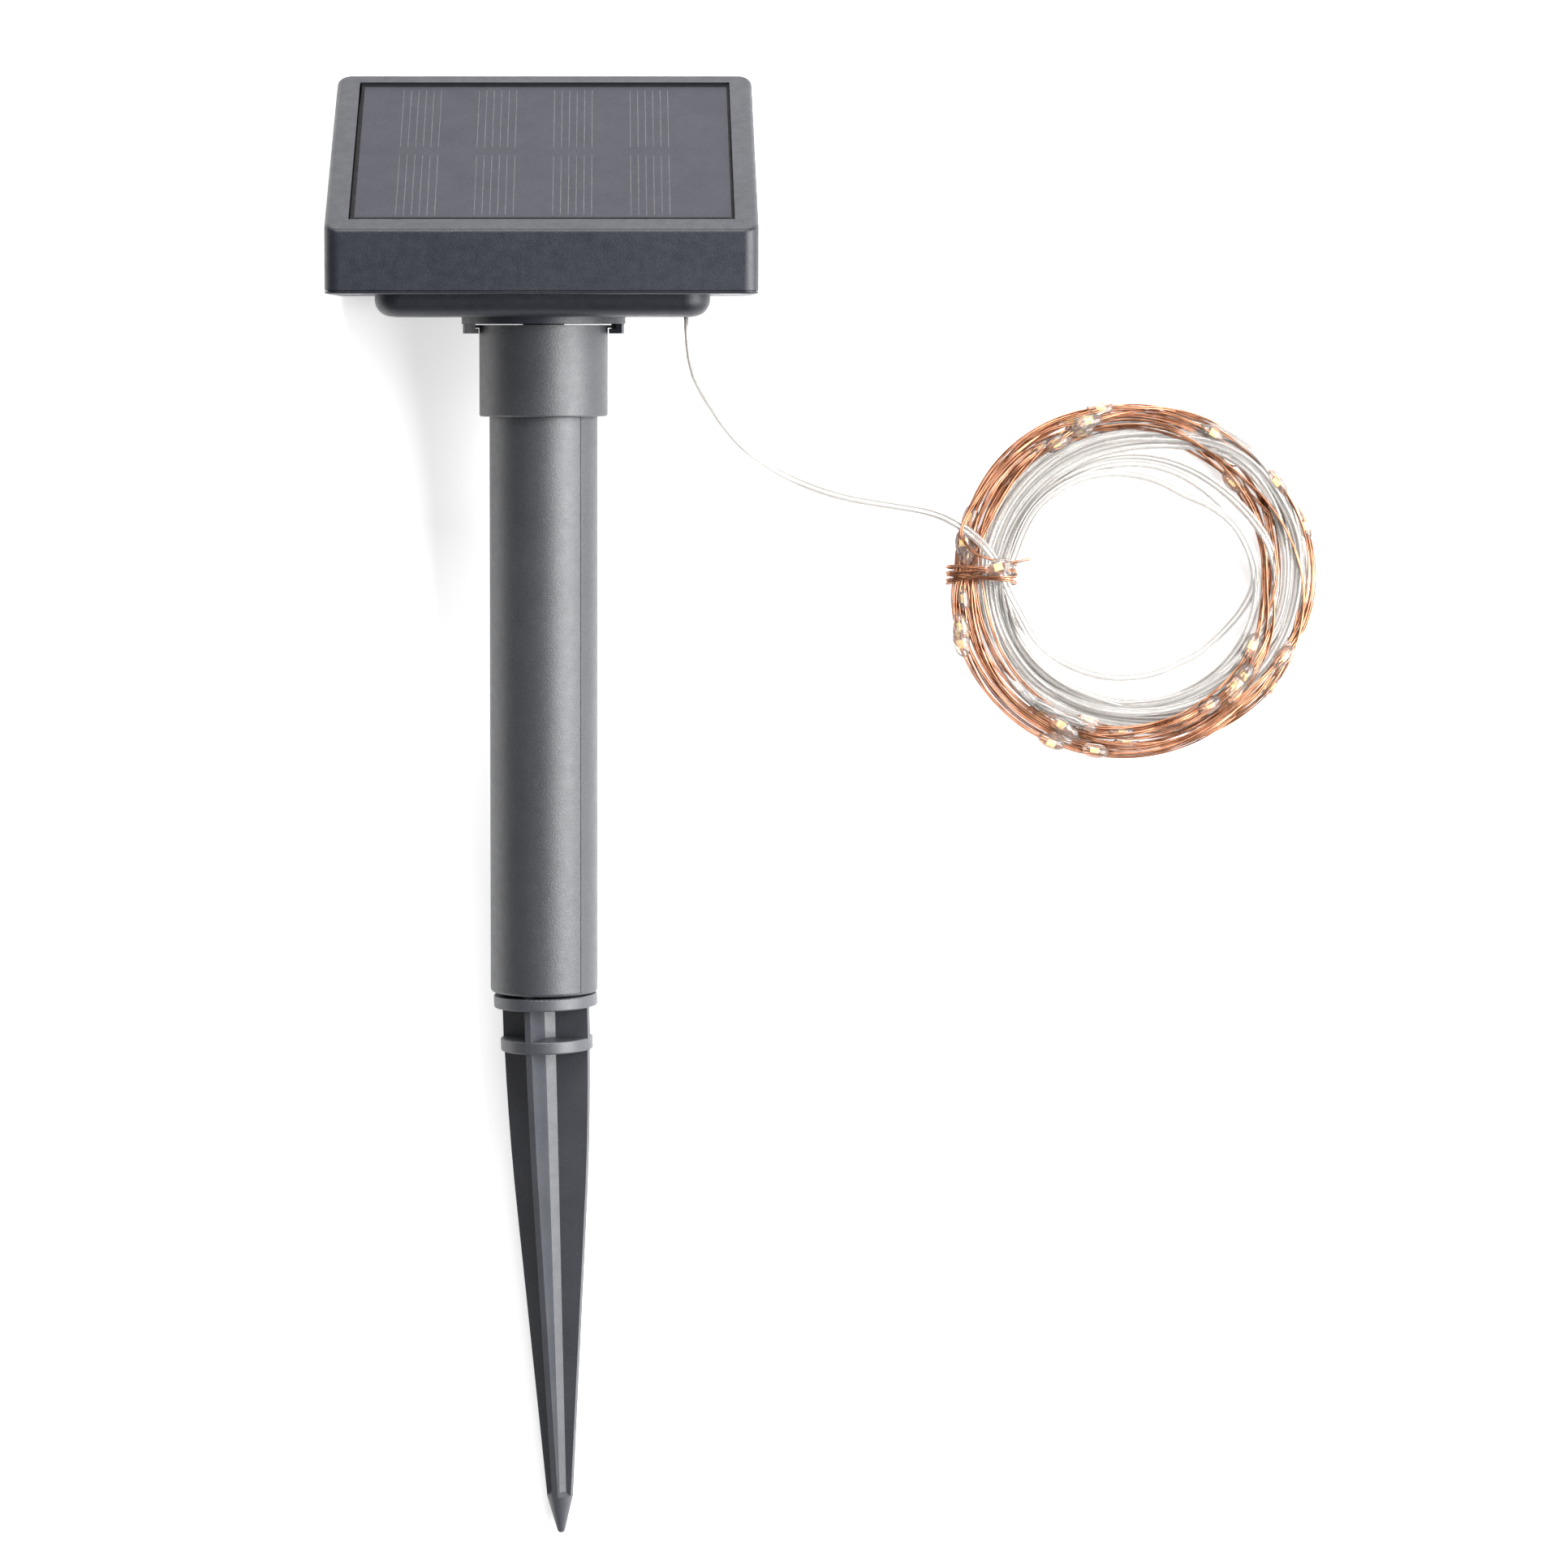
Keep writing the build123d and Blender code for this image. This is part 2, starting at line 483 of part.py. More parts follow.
def make_lead_wire(start, heading):
    """Free stretch of the lead: out of the grommet, down to the floor and up onto the coil."""
    first = tuple(s + LEAD_FIRST_RUN * h for s, h in zip(start, heading))
    points = [start, first, *LEAD_ROUTE]
    vectors = [Vector(*b) - Vector(*a) for a, b in zip(points, points[1:])]
    radii = []
    for before, after in zip(vectors, vectors[1:]):
        half_turn = math.radians(before.get_angle(after)) / 2
        radii.append(0.45 * min(before.length, after.length) / math.tan(half_turn))
    print("lead runs", [round(v.length, 1) for v in vectors], "radii", [round(r, 1) for r in radii])
    path = FilletPolyline(*points, radius=radii)
    tube = sweep(Plane(path @ 0, z_dir=path % 0) * Circle(LEAD_D / 2), path=path)
    print("lead length", round(path.length, 1), "volume", round(tube.volume, 1),
          "expected", round(path.length * math.pi * LEAD_D ** 2 / 4, 1))
    return tube


def make_light_coil():
    """Outer shape of the coiled lead and string."""
    ring = extrude(Ellipse(*COIL_OUT) - Ellipse(*COIL_IN), amount=COIL_Z1 - COIL_Z0)
    ring = fillet(ring.edges(), 3.2)
    return Pos(*COIL_AT, COIL_Z0) * ring


def make_coil_tie():
    """String end wound round the coil's left side."""
    width = COIL_OUT[0] - COIL_IN[0]
    mid_x = COIL_AT[0] - (COIL_OUT[0] + COIL_IN[0]) / 2
    band = Box(width + 2.4, TIE_L, COIL_Z1 - COIL_Z0 + 2 * TIE_T)
    band = fillet(band.edges().filter_by(Axis.Y), 3.6)
    window = Box(width + 1.2, TIE_L + 2, COIL_Z1 - COIL_Z0)
    window = fillet(window.edges().filter_by(Axis.Y), 3.1)
    return Pos(mid_x, COIL_AT[1] + 1.6, (COIL_Z0 + COIL_Z1) / 2) * (band - window)


def on_coil(angle, inset, z):
    """Place on the coil's ring at an angle, turned along it."""
    out_x, out_y = (half - inset for half in COIL_OUT)
    a = math.radians(angle)
    heading = math.degrees(math.atan2(out_y * math.cos(a), -out_x * math.sin(a)))
    return Pos(COIL_AT[0] + out_x * math.cos(a), COIL_AT[1] + out_y * math.sin(a), z) * Rot(0, 90, heading)


def make_splice_sleeve():
    """Clear sleeve over the joint of the lead and the string, lying on the coil."""
    return on_coil(SLEEVE_ANGLE, SLEEVE_INSET, COIL_Z1 + 0.2) * Cylinder(SLEEVE_R, SLEEVE_L)


def make_led_beads():
    """Resin drops with the lights inside, lying on the coil."""
    bead = scale(Sphere(1), by=(BEAD_R, BEAD_R, BEAD_L / 2))
    beads = []
    for index in range(BEAD_COUNT):
        angle = BEAD_ANGLE + index * 360 / BEAD_COUNT
        if abs(angle - SLEEVE_ANGLE) > SLEEVE_CLEAR:
            beads.append(on_coil(angle, 3.6 + 2.2 * (index % 3), COIL_Z1 - 0.3) * bead)
    return beads


# ---- assembly ------------------------------------------------------------------------------------------

standing = make_head_parts() | make_moving_parts()
LAY_Y = LAY_Z = 0.0
everything = Compound(children=[
    lay(solid) for shape in standing.values() for solid in (shape if isinstance(shape, list) else [shape])
])
bounds = everything.bounding_box()
LAY_Y = -(bounds.min.Y + bounds.max.Y) / 2
LAY_Z = -bounds.min.Z

tilt = math.radians(TILT)
exit_point = (EXIT_X, LAY_Y + EXIT_Y * math.sin(tilt), LAY_Z - EXIT_Y * math.cos(tilt))
exit_heading = (0.0, -math.cos(tilt), -math.sin(tilt))

nodes = {}
for name, shape in standing.items():
    solids = shape if isinstance(shape, list) else [shape]
    nodes[name] = [lay(solid) for solid in solids]
nodes["lead_wire"] = [make_lead_wire(exit_point, exit_heading)]
nodes["light_coil"] = [make_light_coil()]
nodes["coil_tie"] = [make_coil_tie()]
nodes["splice_sleeve"] = [make_splice_sleeve()]
nodes["led_beads"] = make_led_beads()

os.makedirs("parts", exist_ok=True)
for name, solids in nodes.items():
    shape = solids[0] if len(solids) == 1 else Compound(children=solids)
    export_step(shape, f"parts/{name}.step")

print("tilt", round(TILT, 3), "lay Y", round(LAY_Y, 3), "lay Z", round(LAY_Z, 3))
print("exit", [round(v, 2) for v in exit_point], [round(v, 4) for v in exit_heading])
print("size", round(bounds.size.X, 1), round(bounds.size.Y, 1), round(bounds.size.Z, 1))
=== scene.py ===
"""Solar string lights on a stake, lying on its back: looks, camera and light round the CAD frame."""

import math

import bmesh
import bpy
import numpy as np
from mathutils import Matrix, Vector


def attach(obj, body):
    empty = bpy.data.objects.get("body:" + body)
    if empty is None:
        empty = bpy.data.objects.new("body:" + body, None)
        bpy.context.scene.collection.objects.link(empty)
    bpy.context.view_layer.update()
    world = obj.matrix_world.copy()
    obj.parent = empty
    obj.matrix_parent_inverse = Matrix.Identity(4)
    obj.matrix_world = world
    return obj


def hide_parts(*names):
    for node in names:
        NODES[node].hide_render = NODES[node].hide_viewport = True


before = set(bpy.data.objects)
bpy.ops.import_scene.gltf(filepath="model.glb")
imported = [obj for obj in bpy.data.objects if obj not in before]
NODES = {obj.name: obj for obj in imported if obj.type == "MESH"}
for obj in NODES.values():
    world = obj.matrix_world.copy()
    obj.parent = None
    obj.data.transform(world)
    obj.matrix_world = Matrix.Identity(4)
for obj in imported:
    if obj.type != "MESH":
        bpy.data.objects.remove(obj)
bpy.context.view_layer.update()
MM = 0.001

# ---- camera: straight down on the floor, as in a flat lay ----------------------------------------

SENSOR = 36.0
FOCAL_PX, IMAGE_PX = 6000, 1932
cam_data = bpy.data.cameras.new("camera")
cam_data.sensor_width = SENSOR
cam_data.lens = SENSOR * FOCAL_PX / IMAGE_PX
cam_data.shift_x = 0.1118
camera = bpy.data.objects.new("camera", cam_data)
camera.location = (0.0156, 0.0052, 1.195)
bpy.context.scene.collection.objects.link(camera)
bpy.context.scene.camera = camera
bpy.context.scene.view_settings.view_transform = "Standard"


# ---- node helpers --------------------------------------------------------------------------------

def new_material(name):
    """(material, node tree, its Principled shader)."""
    mat = bpy.data.materials.new(name)
    mat.use_nodes = True
    return mat, mat.node_tree, mat.node_tree.nodes["Principled BSDF"]


def node(tree, kind, inputs=None, **props):
    """A node of that kind with its properties and unlinked input values set, or linked to a socket."""
    made = tree.nodes.new("ShaderNode" + kind)
    for key, value in props.items():
        setattr(made, key, value)
    for key, value in (inputs or {}).items():
        if isinstance(value, bpy.types.NodeSocket):
            tree.links.new(value, made.inputs[key])
        else:
            made.inputs[key].default_value = value
    return made


def noise(tree, scale, detail=4.0, rough=0.55, stretch=(1, 1, 1)):
    """The Fac of a noise at that many features a metre, on the object's own coordinates."""
    coord = node(tree, "TexCoord").outputs["Object"]
    place = node(tree, "Mapping", {"Vector": coord, "Scale": stretch})
    return node(tree, "TexNoise", {"Vector": place.outputs[0], "Scale": scale, "Detail": detail,
                                   "Roughness": rough}).outputs[0]


def ramp(tree, fac, low, high, start=0.3, stop=0.7):
    """A colour ramp from low to high between two positions."""
    made = node(tree, "ValToRGB", {"Fac": fac})
    made.color_ramp.elements[0].position = start
    made.color_ramp.elements[1].position = stop
    made.color_ramp.elements[0].color = (*low, 1)
    made.color_ramp.elements[1].color = (*high, 1)
    return made.outputs[0]


def spread(tree, fac, low, high):
    """fac mapped from 0.25-0.75 to low-high."""
    return node(tree, "MapRange", {"Value": fac, "From Min": 0.25, "From Max": 0.75, "To Min": low,
                                   "To Max": high}).outputs[0]


def mix(tree, fac, first, second, blend="MIX"):
    """Two colours mixed."""
    made = tree.nodes.new("ShaderNodeMix")
    made.data_type = "RGBA"
    made.blend_type = blend
    for key, value in ((0, fac), (6, first), (7, second)):
        if isinstance(value, bpy.types.NodeSocket):
            tree.links.new(value, made.inputs[key])
        else:
            made.inputs[key].default_value = value if key == 0 else (*value, 1)
    return made.outputs[2]


def bump(tree, shader, height, strength, distance):
    """Bump on the shader from a height."""
    made = node(tree, "Bump", {"Height": height, "Strength": strength, "Distance": distance})
    tree.links.new(made.outputs[0], shader.inputs["Normal"])


def grained_plastic(name, dark, light, rough=(0.34, 0.48), grain=3200, strength=0.8, dust_and_sparkle=0.3,
                    gloss=0.4):
    """Moulded plastic with a spark-eroded grain: fine bumps, faint cloudiness and pale specks, which
    stand for fine dust and for painted sparkle of the grain.
    """
    mat, tree, shader = new_material(name)
    fine = noise(tree, grain, 3, 0.6)
    cloud = noise(tree, 55, 5, 0.6)
    base = ramp(tree, cloud, dark, light)
    speck = ramp(tree, fine, (0, 0, 0), (1, 1, 1), 0.56, 0.74)
    # Pale flecks in the base colour: partly dust, partly painted glints of the grain.
    paler = tuple(min(1, 2.6 * c + 0.03) for c in light)
    shader.inputs["Specular IOR Level"].default_value = gloss
    flecked = mix(tree, node(tree, "Math", {0: speck, 1: dust_and_sparkle}, operation="MULTIPLY").outputs[0],
                  base, paler)
    tree.links.new(flecked, shader.inputs["Base Color"])
    tree.links.new(spread(tree, noise(tree, 420, 4), *rough), shader.inputs["Roughness"])
    bump(tree, shader, fine, strength, 0.00009)
    return mat


def rubber(name, dark, light):
    """Matt moulded rubber."""
    mat, tree, shader = new_material(name)
    shader.inputs["Specular IOR Level"].default_value = 0.12
    tree.links.new(ramp(tree, noise(tree, 300), dark, light), shader.inputs["Base Color"])
    tree.links.new(spread(tree, noise(tree, 900), 0.62, 0.82), shader.inputs["Roughness"])
    bump(tree, shader, noise(tree, 4200, 2), 0.25, 0.00003)
    return mat


def metal(name, dark, light, rough=(0.2, 0.36), stretch=(1, 1, 1), scale=900):
    """Drawn or plated metal with fine streaks."""
    mat, tree, shader = new_material(name)
    shader.inputs["Metallic"].default_value = 1.0
    streak = noise(tree, scale, 4, 0.6, stretch)
    tree.links.new(ramp(tree, streak, dark, light), shader.inputs["Base Color"])
    tree.links.new(spread(tree, streak, *rough), shader.inputs["Roughness"])
    bump(tree, shader, streak, 0.12, 0.00002)
    return mat


def clear_plastic(name, tint, rough=(0.05, 0.14), transmission=0.9, ior=1.42):
    """Clear soft plastic or resin with faint flow marks."""
    mat, tree, shader = new_material(name)
    shader.inputs["Transmission Weight"].default_value = transmission
    shader.inputs["IOR"].default_value = ior
    flow = noise(tree, 260, 3)
    tree.links.new(ramp(tree, flow, tuple(0.97 * c for c in tint), tint), shader.inputs["Base Color"])
    tree.links.new(spread(tree, flow, *rough), shader.inputs["Roughness"])
    bump(tree, shader, noise(tree, 700, 2), 0.08, 0.00005)
    return mat


# ---- materials -----------------------------------------------------------------------------------

housing_mat = grained_plastic("housing_abs", (0.007, 0.0085, 0.014), (0.011, 0.013, 0.0195),
                             strength=0.6, dust_and_sparkle=0.16)
pole_mat = grained_plastic("pole_abs", (0.023, 0.025, 0.029), (0.03, 0.032, 0.037), (0.38, 0.48),
                           gloss=0.6)
spike_mat = grained_plastic("spike_abs", (0.032, 0.034, 0.041), (0.044, 0.046, 0.054), (0.4, 0.5),
                            strength=0.3, dust_and_sparkle=0.3, gloss=0.6)
button_mat = grained_plastic("button_abs", (0.016, 0.017, 0.021), (0.024, 0.025, 0.03), (0.45, 0.6))
seal_mat = rubber("seal_rubber", (0.004, 0.004, 0.0045), (0.008, 0.008, 0.009))
steel_mat = metal("zinc_steel", (0.52, 0.53, 0.55), (0.72, 0.73, 0.75))
solder_mat = metal("tinned_core", (0.24, 0.225, 0.205), (0.42, 0.4, 0.365), (0.3, 0.42), scale=2200)
copper_mat = metal("enamelled_copper", (0.22, 0.085, 0.042), (0.62, 0.31, 0.185), (0.24, 0.38),
                   scale=170)
lead_mat = clear_plastic("clear_pvc", (0.9, 0.877, 0.85), (0.05, 0.12), 0.78, 1.52)
resin_mat = clear_plastic("led_resin", (0.99, 0.93, 0.88), (0.04, 0.1), 0.93, 1.44)
sleeve_mat = clear_plastic("sleeve_plastic", (0.95, 0.94, 0.93), (0.08, 0.18))


def chip_material():
    """Phosphor-coated LED die: warm yellow, mottled, with a faint painted glow though the LED is unlit.
    """
    mat, tree, shader = new_material("led_phosphor")
    tree.links.new(ramp(tree, noise(tree, 2400, 3), (0.95, 0.66, 0.2), (1.0, 0.84, 0.42)),
                   shader.inputs["Base Color"])
    tree.links.new(spread(tree, noise(tree, 3000), 0.35, 0.55), shader.inputs["Roughness"])
    # Painted glow: a weak warm emission makes the unlit chips look brighter.
    shader.inputs["Emission Color"].default_value = (1.0, 0.75, 0.25, 1)
    shader.inputs["Emission Strength"].default_value = 0.25
    return mat


chip_mat = chip_material()


def laminate_material():
    """Smoked epoxy over the cells: satin, softly mottled, faintly see-through."""
    mat, tree, shader = new_material("smoked_epoxy")
    cloud = noise(tree, 120, 6, 0.65)
    tree.links.new(ramp(tree, cloud, (0.012, 0.013, 0.022), (0.019, 0.02, 0.03)),
                   shader.inputs["Base Color"])
    tree.links.new(spread(tree, noise(tree, 1800, 3), 0.44, 0.56), shader.inputs["Roughness"])
    shader.inputs["Transmission Weight"].default_value = 0.1
    shader.inputs["Specular IOR Level"].default_value = 0.24
    shader.inputs["IOR"].default_value = 1.48
    bump(tree, shader, noise(tree, 2300, 2), 0.12, 0.00004)
    return mat


def silicon_material():
    """Dark blue cell with a fine crystal mottle."""
    mat, tree, shader = new_material("silicon_cell")
    coord = node(tree, "TexCoord").outputs["Object"]
    crystal = node(tree, "TexVoronoi", {"Vector": coord, "Scale": 420.0}).outputs["Color"]
    tree.links.new(mix(tree, 0.12, (0.012, 0.014, 0.03), crystal, "OVERLAY"),
                   shader.inputs["Base Color"])
    tree.links.new(spread(tree, noise(tree, 800), 0.2, 0.32), shader.inputs["Roughness"])
    shader.inputs["Coat Weight"].default_value = 0.5
    return mat


def board_material(name, dark, light):
    """Solder mask over copper tracks: a faint maze of raised lines."""
    mat, tree, shader = new_material(name)
    coord = node(tree, "TexCoord").outputs["Object"]
    maze = node(tree, "TexBrick", {"Vector": coord, "Scale": 260.0, "Mortar Size": 0.05,
                                   "Color1": (0, 0, 0, 1), "Color2": (0.1, 0.1, 0.1, 1),
                                   "Mortar": (1, 1, 1, 1)}).outputs["Color"]
    tree.links.new(ramp(tree, maze, dark, light, 0.0, 1.0), shader.inputs["Base Color"])
    tree.links.new(spread(tree, noise(tree, 900), 0.28, 0.42), shader.inputs["Roughness"])
    bump(tree, shader, maze, 0.3, 0.00003)
    return mat


def wrap_material():
    """Shrink sleeve of a battery: two tones with a band, and a slight orange peel."""
    mat, tree, shader = new_material("battery_wrap")
    coord = node(tree, "TexCoord").outputs["Object"]
    across = node(tree, "SeparateXYZ", {0: coord}).outputs[0]
    band = node(tree, "MapRange", {"Value": across, "From Min": 0.0125, "From Max": 0.0127})
    tree.links.new(mix(tree, band.outputs[0], (0.03, 0.16, 0.07), (0.6, 0.6, 0.62)),
                   shader.inputs["Base Color"])
    tree.links.new(spread(tree, noise(tree, 500), 0.25, 0.4), shader.inputs["Roughness"])
    bump(tree, shader, noise(tree, 1500, 2), 0.15, 0.00003)
    return mat


def jacket_material():
    """Hook-up wire insulation in red and black, one side of the head each."""
    mat, tree, shader = new_material("wire_jacket")
    coord = node(tree, "TexCoord").outputs["Object"]
    across = node(tree, "SeparateXYZ", {0: coord}).outputs[0]
    side = node(tree, "MapRange", {"Value": across, "From Min": -0.0004, "From Max": 0.0004})
    tree.links.new(mix(tree, side.outputs[0], (0.015, 0.015, 0.017), (0.5, 0.03, 0.025)),
                   shader.inputs["Base Color"])
    tree.links.new(spread(tree, noise(tree, 1200), 0.38, 0.5), shader.inputs["Roughness"])
    return mat


laminate_mat = laminate_material()
silicon_mat = silicon_material()
black_board_mat = board_material("black_board", (0.008, 0.008, 0.01), (0.03, 0.03, 0.034))
green_board_mat = board_material("green_board", (0.006, 0.05, 0.022), (0.02, 0.13, 0.05))
component_mat = grained_plastic("component_epoxy", (0.012, 0.012, 0.013), (0.03, 0.03, 0.032),
                                (0.35, 0.5))
holder_mat = grained_plastic("holder_plastic", (0.014, 0.014, 0.015), (0.022, 0.022, 0.023))
wrap_mat = wrap_material()
jacket_mat = jacket_material()
finger_mat = grained_plastic("cell_fingers", (0.03, 0.03, 0.035), (0.054, 0.054, 0.059), (0.45, 0.55),
                             3400, 0.3, 0.6)


# ---- cord building -------------------------------------------------------------------------------

def spline_points(points, resolution):
    """The points, in metres, of the smooth NURBS line with those control points."""
    data = bpy.data.curves.new("route", "CURVE")
    data.dimensions = "3D"
    line = data.splines.new("NURBS")
    line.points.add(len(points) - 1)
    for knot, point in zip(line.points, points):
        knot.co = (*point, 1.0)
    line.order_u = 3
    line.use_endpoint_u = True
    line.resolution_u = resolution
    holder = bpy.data.objects.new("route", data)
    mesh = bpy.data.meshes.new_from_object(holder)
    found = np.array([v.co[:] for v in mesh.vertices])
    bpy.data.meshes.remove(mesh)
    bpy.data.objects.remove(holder)
    bpy.data.curves.remove(data)
    return found


def along(path):
    """The distance of each point from the start, along the path."""
    return np.concatenate([[0], np.cumsum(np.linalg.norm(np.diff(path, axis=0), axis=1))])


def unit(vectors):
    """Each vector at length one."""
    return vectors / np.maximum(np.linalg.norm(vectors, axis=-1, keepdims=True), 1e-12)


def level_frame(path):
    """(side, up) at each point of a path that is never upright: side is level."""
    ahead = unit(np.gradient(path, axis=0))
    side = unit(np.cross(ahead, (0.0, 0.0, 1.0)))
    return side, np.cross(side, ahead)


def rolled_frame(path):
    """(side, up) at each point, carried along the path without twist."""
    ahead = unit(np.gradient(path, axis=0))
    side = [unit(np.cross(ahead[0], (0.0, 0.0, 1.0)))]
    for direction in ahead[1:]:
        side.append(unit(side[-1] - direction * np.dot(side[-1], direction)))
    side = np.array(side)
    return side, np.cross(side, ahead)


def mesh_piece(name, verts, faces, mat, smooth=True):
    """A mesh object from its corners and faces."""
    data = bpy.data.meshes.new(name)
    data.from_pydata([tuple(map(float, v)) for v in verts], [], faces)
    data.validate()
    shell = bmesh.new()
    shell.from_mesh(data)
    bmesh.ops.recalc_face_normals(shell, faces=shell.faces)
    shell.to_mesh(data)
    shell.free()
    data.materials.append(mat)
    for face in data.polygons:
        face.use_smooth = smooth
    piece = bpy.data.objects.new(name, data)
    bpy.context.scene.collection.objects.link(piece)
    return piece


def swept(centres, side, up, outline):
    """(corners, faces) of a closed tube along the centres.

    The outline is a list of (side, up) offsets, or one such list for each centre.
    """
    outline = np.asarray(outline, float)
    if outline.ndim == 2:
        outline = np.broadcast_to(outline, (len(centres), *outline.shape))
    n = outline.shape[1]
    rings = (centres[:, None] + side[:, None] * outline[..., :1] + up[:, None] * outline[..., 1:])
    faces = [list(range(n))[::-1], [(len(centres) - 1) * n + i for i in range(n)]]
    for r in range(len(centres) - 1):
        for i in range(n):
            j = (i + 1) % n
            faces.append([r * n + i, r * n + j, (r + 1) * n + j, (r + 1) * n + i])
    return rings.reshape(-1, 3), faces


def joined(parts):
    """Several (corners, faces) as one."""
    verts, faces = [], []
    for corners, sides in parts:
        start = sum(len(v) for v in verts)
        verts.append(corners)
        faces += [[start + i for i in side] for side in sides]
    return np.concatenate(verts), faces


def circle(radius, n, centre=(0.0, 0.0)):
    """Points round a circle."""
    turn = np.arange(n) * 2 * math.pi / n
    return np.stack([centre[0] + radius * np.cos(turn), centre[1] + radius * np.sin(turn)], axis=1)


# ---- the coil, in mm and degrees: each turn's place in the bundle, with the strands side by side ----

COIL = (143.8, 54.9)                                # its middle on the floor
OUTER, INNER = (44.9, 43.4), (30.5, 29.5)           # its outer and inner ellipse
STEP = 15
TURN_FROM, TURN_TO = 180, 540                       # a turn starts and ends on the left, at the tie
LEAD_TURNS, STRING_TURNS = 8, 20
LEAD_TO, STRING_FROM, STRING_TO = 240, 255, 510     # the joint within a turn, and where the tie begins
LEAD_SIZE, STRING_SIZE, BEAD_SIZE, SLEEVE_SIZE = 1.75, 0.85, 3.0, 2.6  # room taken in the bundle
MEAN_RADIUS = 37.4
BEAD_PITCH, BEAD_LIFT = 100.0, 0.35                 # drops lie higher than bare string
BEADS_PAST = 250                                    # no room is kept for them between tie and splice
EDGE, OVER_EDGE, CLEAR_OF_FLOOR = 0.8, 0.3, 0.6
HIGHEST, PINCH, PINCH_AT, PINCH_SPAN = 8.4, 2.0, 176, 28  # the tie pinches the bundle
SLEEVE_START, SLEEVE_END = 228, 252
LEAD_END, STRING_START = (38.9, 7.9), (37.4, 7.9)   # (radius, height) where the sleeve takes them
SLEEVE_PLACES = {225: (38.8, 7.9), 240: (38.2, 8.0), 255: STRING_START}
SWEEPS, SMOOTHING, PULL, PUSH = 160, 0.12, 0.05, 0.4
LOOSE_LOOP = (29.6, 28.0, 25.3, 23.6, 23.2, 25.6, 30.4, 28.2, 24.2, 26.0, 28.4, 29.9)  # radius each 30
LOOP_START, LOOP_LOW, LOOP_RISE = 5.8, 1.2, 5.0     # its heights: coming in, on the floor, climbing out

# Places across the bundle, -1 inner to 1 outer, at 180, 225, 270, 315, 0, 45, 90 and 135 degrees.
LEAD_LANES = (
    (-1.0, -0.95, -0.95, -0.9, -0.95, -1.35, -1.05, -1.05),
    (-0.95, -0.9, -0.9, -0.8, -0.2, -0.9, -0.9, -0.95),
    (-0.8, -0.8, -0.85, -0.6, 0.0, 0.3, -0.65, -0.75),
    (-0.7, -0.65, -0.7, -0.4, 0.15, 0.95, 0.5, 0.1),
    (-0.5, -0.5, -0.55, 0.3, 0.3, 0.7, -0.3, -0.45),
    (-0.3, -0.35, -0.3, 0.85, 0.45, 0.9, 0.35, -0.05),
    (-0.15, -0.2, -0.1, 0.95, 0.55, 0.6, 0.0, -0.2),
    (-0.25, 0.1, 0.15, 0.15, 0.15, 0.15, 0.15, 0.15),
)
STRING_LANES = {
    "a": (0.9, 0.85, 0.85, 0.6, 0.9, 0.8, 0.95, 0.85),
    "b": (0.3, 0.45, 0.35, 0.0, -0.75, -0.35, 0.55, 0.45),
    "c": (-0.05, 0.05, 0.05, -0.35, -0.55, 0.15, 0.85, 0.2),
    "d": (0.6, 0.3, 0.6, 0.8, 0.7, -0.15, 0.2, 0.7),
}
STRING_ORDER = "cbadbcadbacbdabcadba"
SWELL = (0.6, 2.3, 0.2, -0.9, 0.3, 0.5, 0.0, 1.0)  # mm that the loose turns stand out past the ellipse
LEAD_HEIGHTS = (0.15, 0.1, 0.2, 0.45, 0.65, 0.7, 0.55, 0.4)
STRING_HEIGHTS = (0.82, 0.85, 0.8, 0.65, 0.5, 0.5, 0.6, 0.7)


def ellipse(axes, angle):
    """The radius of an ellipse at an angle."""
    return 1 / np.hypot(np.cos(angle) / axes[0], np.sin(angle) / axes[1])


def lane(table, degrees):
    """A table of eight places, from 180 degrees on, read at an angle, with smooth steps between."""
    turns = ((degrees - 180) % 360) / 45
    i = int(turns)
    part = turns - i
    part = part * part * (3 - 2 * part)
    after = table[(i + 1) % 8]
    return table[i] * (1 - part) + after * part


def ceiling(degrees):
    """How high the bundle reaches."""
    away = (degrees % 360 - PINCH_AT) / PINCH_SPAN
    return HIGHEST - PINCH * math.exp(-away * away)


